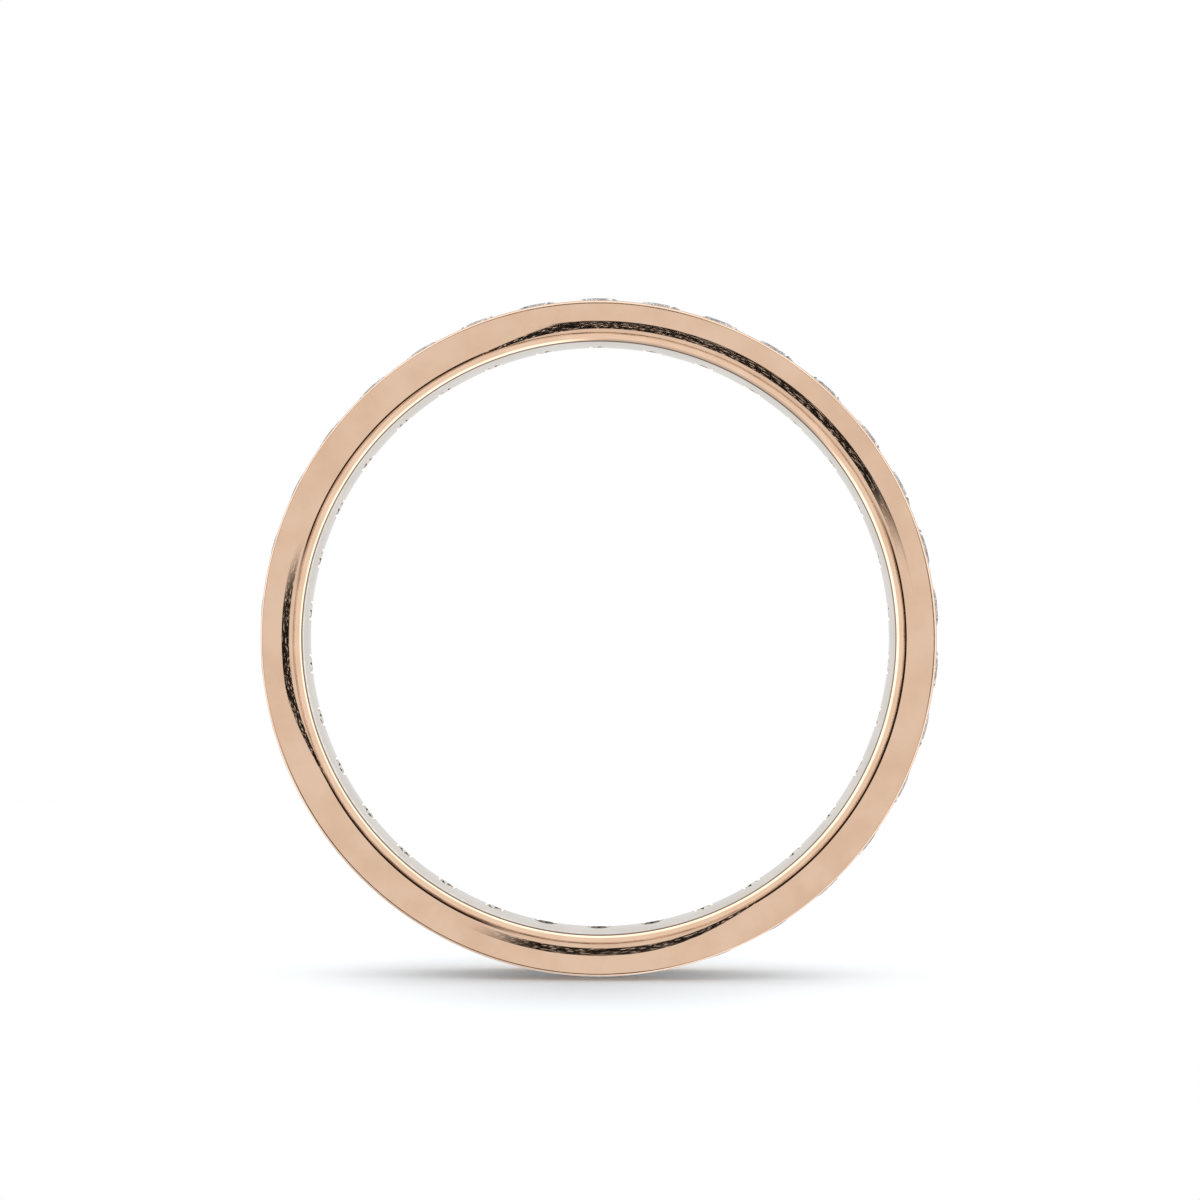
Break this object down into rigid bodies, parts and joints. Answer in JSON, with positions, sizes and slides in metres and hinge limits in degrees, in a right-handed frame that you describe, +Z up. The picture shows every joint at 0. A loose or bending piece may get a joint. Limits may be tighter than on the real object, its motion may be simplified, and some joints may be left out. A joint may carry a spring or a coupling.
{
  "type": "wedding band",
  "caption": "Channel-set eternity wedding band: two polished rose-gold rails, a white-gold centre band and a full circle of round brilliants.",
  "frame": {"origin": "centre of the ring, on its axis midway between the two side faces", "axes": "+Y along the ring's axis from the front rail's side face to the back rail's, +Z up through the twelve o'clock stone, +X to the right seen from the front"},
  "size_m": [0.0202, 0.0028, 0.0202],
  "materials": {
    "rose_gold": "mirror polished 14 k rose gold",
    "white_gold": "polished 14 k white gold",
    "diamond": "colourless round brilliant cut"
  },
  "bodies": {
    "root": {"rail_front": "rose_gold", "rail_back": "rose_gold", "centre_band": "white_gold", "stone_01": "diamond", "stone_02": "diamond", "stone_03": "diamond", "stone_04": "diamond", "stone_05": "diamond", "stone_06": "diamond", "stone_07": "diamond", "stone_08": "diamond", "stone_09": "diamond", "stone_10": "diamond", "stone_11": "diamond", "stone_12": "diamond", "stone_13": "diamond", "stone_14": "diamond", "stone_15": "diamond", "stone_16": "diamond", "stone_17": "diamond", "stone_18": "diamond", "stone_19": "diamond", "stone_20": "diamond", "stone_21": "diamond", "stone_22": "diamond", "stone_23": "diamond", "stone_24": "diamond", "stone_25": "diamond", "stone_26": "diamond", "stone_27": "diamond", "stone_28": "diamond", "stone_29": "diamond", "stone_30": "diamond", "stone_31": "diamond", "stone_32": "diamond", "stone_33": "diamond", "stone_34": "diamond"}
  },
  "joints": []
}
